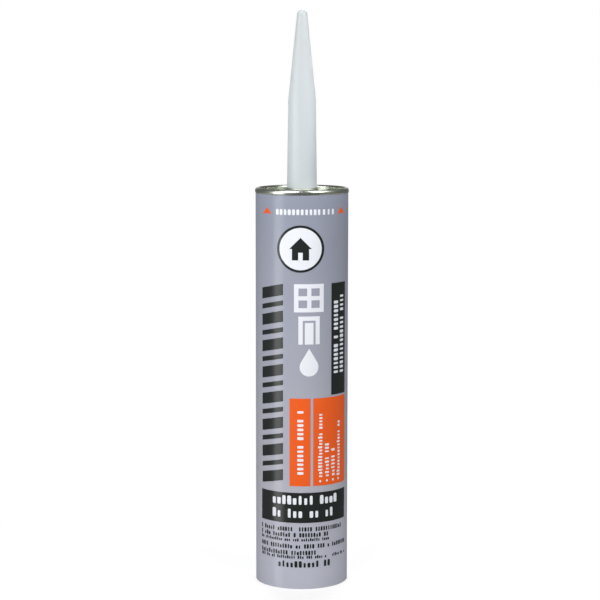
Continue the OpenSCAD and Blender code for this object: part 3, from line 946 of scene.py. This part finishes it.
# Soft boxes low on the left, high on both sides and behind, two small ones that keep the nozzle's sides
# as light as milky plastic is, and one under the table that only the open rear sees. Sizes are in
# metres, powers in watts.
highBox = {"elevation": 36, "wide": 1.0, "tall": 0.8}
nozzleBox = {"elevation": 4, "distance": 0.3, "wide": 0.18, "tall": 0.08, "aim": 0.282, "spread": 34,
             "mirrored": False}
softBoxes = {
    "leftBox": {"azimuth": -60, "elevation": 0, "distance": 1.6, "wide": 0.66, "tall": 1.3, "power": 11},
    "highLeftBox": {**highBox, "azimuth": -32, "distance": 2.0, "power": 22},
    "highRightBox": {**highBox, "azimuth": 45, "distance": 1.8, "power": 20.5},
    "nozzleRightBox": {**nozzleBox, "azimuth": 75, "power": 0.036},
    "nozzleLeftBox": {**nozzleBox, "azimuth": -85, "power": 0.015},
    "backBox": {"azimuth": 180, "elevation": 44, "distance": 2.0, "wide": 1.6, "tall": 1.2, "power": 36,
                "mirrored": False},
    "underBox": {"azimuth": 0, "elevation": -90, "distance": 0.9, "wide": 0.3, "tall": 0.3, "power": 0.55,
                 "spread": 60, "mirrored": False},
}


def around(azimuth, elevation, distance):
    turn, lift = math.radians(azimuth), math.radians(elevation)
    level = math.cos(lift)
    return Vector((math.sin(turn) * level, -math.cos(turn) * level, math.sin(lift))) * distance


for name, box in softBoxes.items():
    lamp = bpy.data.lights.new(name, "AREA")
    lamp.shape = "RECTANGLE"
    lamp.size, lamp.size_y, lamp.energy = box["wide"], box["tall"], box["power"]
    lamp.spread = math.radians(box.get("spread", 180))
    holder = bpy.data.objects.new(name, lamp)
    toLamp = around(box["azimuth"] + studio["view azimuth"], box["elevation"], box["distance"])
    holder.location = Vector((0, 0, box.get("aim", studio["aim height"]))) + toLamp
    holder.rotation_euler = toLamp.to_track_quat("Z", "Y").to_euler()
    holder.visible_camera = False
    holder.visible_glossy = box.get("mirrored", True)
    bpy.context.scene.collection.objects.link(holder)


# Mirrored rays pass through the table top, so that the varnish shows the boxes down to their feet, and
# it is clear from below, so that the open rear can be seen.
def floorMaterial():
    material = bpy.data.materials.new("paleFloor")
    material.use_nodes = True
    tree = material.node_tree
    tree.nodes.clear()
    path = addNode(tree, "ShaderNodeLightPath", (-700, 300)).outputs
    spot = addNode(tree, "ShaderNodeTexCoord", (-700, -100)).outputs["Object"]
    length = addNode(tree, "ShaderNodeVectorMath", (-500, -100), {"operation": "LENGTH"}, {0: spot})
    fade = addRange(tree, (-300, -100), length.outputs["Value"], *studio["floor fade"],
                    studio["floor white"], 1, True)
    greys = [(studio[grey],) * 3 for grey in ("floor grey", "floor seen")]
    colour = addMix(tree, (-200, 250), path["Is Camera Ray"], *greys)
    matte = addNode(tree, "ShaderNodeBsdfDiffuse", (100, 200), None, {"Color": colour})
    white = addNode(tree, "ShaderNodeEmission", (100, -50), None, {"Color": (1, 1, 1), "Strength": 1})
    share = addMath(tree, "MULTIPLY", (100, -250), path["Is Camera Ray"], fade)
    shown = addNode(tree, "ShaderNodeMixShader", (400, 100), None,
                    {0: share, 1: matte.outputs[0], 2: white.outputs[0]})
    clear = addNode(tree, "ShaderNodeBsdfTransparent", (400, -100))
    below = addNode(tree, "ShaderNodeNewGeometry", (100, -450)).outputs["Backfacing"]
    passes = addMath(tree, "MAXIMUM", (300, -300), path["Is Glossy Ray"], below)
    surface = addNode(tree, "ShaderNodeMixShader", (550, 0), None,
                      {0: passes, 1: shown.outputs[0], 2: clear.outputs[0]})
    addNode(tree, "ShaderNodeOutputMaterial", (700, 0), None, {"Surface": surface.outputs[0]})
    return material


# A round table top, open under the barrel, where the plunger can be seen
sides = studio["table sides"]
tableEdge = [around(angle, 0, 1) for angle in evenAngles(sides)]
floorMesh = bpy.data.meshes.new("floor")
floorMesh.from_pydata([studio[edge] * spot for edge in ("table hole", "table radius") for spot in tableEdge],
                      [], [(i, i + sides, (i + 1) % sides + sides, (i + 1) % sides) for i in range(sides)])
floorMesh.materials.append(floorMaterial())
floor = bpy.data.objects.new("floor", floorMesh)
floor.location.z = -studio["table drop"]
bpy.context.scene.collection.objects.link(floor)


def makeWorld():
    world = bpy.data.worlds.new("studio")
    world.use_nodes = True
    tree = world.node_tree
    tree.nodes.clear()
    path = addNode(tree, "ShaderNodeLightPath", (-700, 300)).outputs
    way = addNode(tree, "ShaderNodeTexCoord", (-900, -200)).outputs["Generated"]
    rise = addNode(tree, "ShaderNodeSeparateXYZ", (-700, -450), None, {0: way}).outputs[2]
    facing = addNode(tree, "ShaderNodeVectorMath", (-700, -200), {"operation": "DOT_PRODUCT"},
                     {0: way, 1: around(studio["view azimuth"], 0, 1)}).outputs["Value"]
    pale = addRange(tree, (-500, -450), rise, *studio["backdrop rise"], studio["mirrored table"],
                    studio["mirrored backdrop"], True)
    behind = addRange(tree, (-500, -200), facing, *studio["backdrop spread"], 1, 0, True)
    under = addRange(tree, (-500, -700), rise, *studio["floor rise"], studio["mirrored floor"], 0, True)
    aside = addRange(tree, (-500, -950), facing, *studio["floor spread"], 1, 0, True)
    backdrop = addMath(tree, "MULTIPLY", (-350, -250), pale, behind)
    below = addMath(tree, "MULTIPLY", (-350, -850), under, aside)
    room = addMath(tree, "MAXIMUM", (-350, -700), below, studio["dark side"])
    dim = addMath(tree, "MAXIMUM", (-350, -100), backdrop, room)
    bounced = addMath(tree, "MAXIMUM", (-450, 200), path["Is Glossy Ray"], path["Is Transmission Ray"])
    direct = addMath(tree, "MAXIMUM", (-450, 0), bounced, path["Is Camera Ray"])
    rest = addMath(tree, "SUBTRACT", (-250, -50), 1, direct)
    seen = addMath(tree, "MULTIPLY_ADD", (-100, 150), bounced, dim, path["Is Camera Ray"])
    strength = addMath(tree, "MULTIPLY_ADD", (100, 100), rest, studio["ambient"], seen)
    light = addNode(tree, "ShaderNodeBackground", (450, 0), None, {"Color": (1, 1, 1), "Strength": strength})
    addNode(tree, "ShaderNodeOutputWorld", (700, 0), None, {"Surface": light.outputs[0]})
    bpy.context.scene.world = world


makeWorld()

# The camera stands where the photograph was taken from. Lengths in mm, down in degrees, roll in radians.
lens = {"focal": 110.88, "sensor": 36, "distance": 994.5, "height": 276.4, "shift left": 1.005, "down": 7.02,
        "roll": 0.0010087, "clip": (10, 50000)}
cameraData = bpy.data.cameras.new("camera")
cameraData.lens, cameraData.sensor_width = lens["focal"], lens["sensor"]
cameraData.clip_start, cameraData.clip_end = [end * mm for end in lens["clip"]]
camera = bpy.data.objects.new("camera", cameraData)
bpy.context.scene.collection.objects.link(camera)
aside = math.radians(studio["view azimuth"])
camera.location = Vector((lens["distance"] * math.sin(aside) - lens["shift left"] * math.cos(aside),
                          -lens["distance"] * math.cos(aside) - lens["shift left"] * math.sin(aside),
                          lens["height"])) * mm
tilt = Euler((math.radians(90 - lens["down"]), 0, aside)).to_quaternion()
camera.rotation_mode = "QUATERNION"
camera.rotation_quaternion = tilt @ Euler((0, 0, lens["roll"])).to_quaternion()
bpy.context.scene.camera = camera
bpy.context.scene.view_settings.view_transform = "Standard"
print("studio: lights, floor, surround and camera placed")
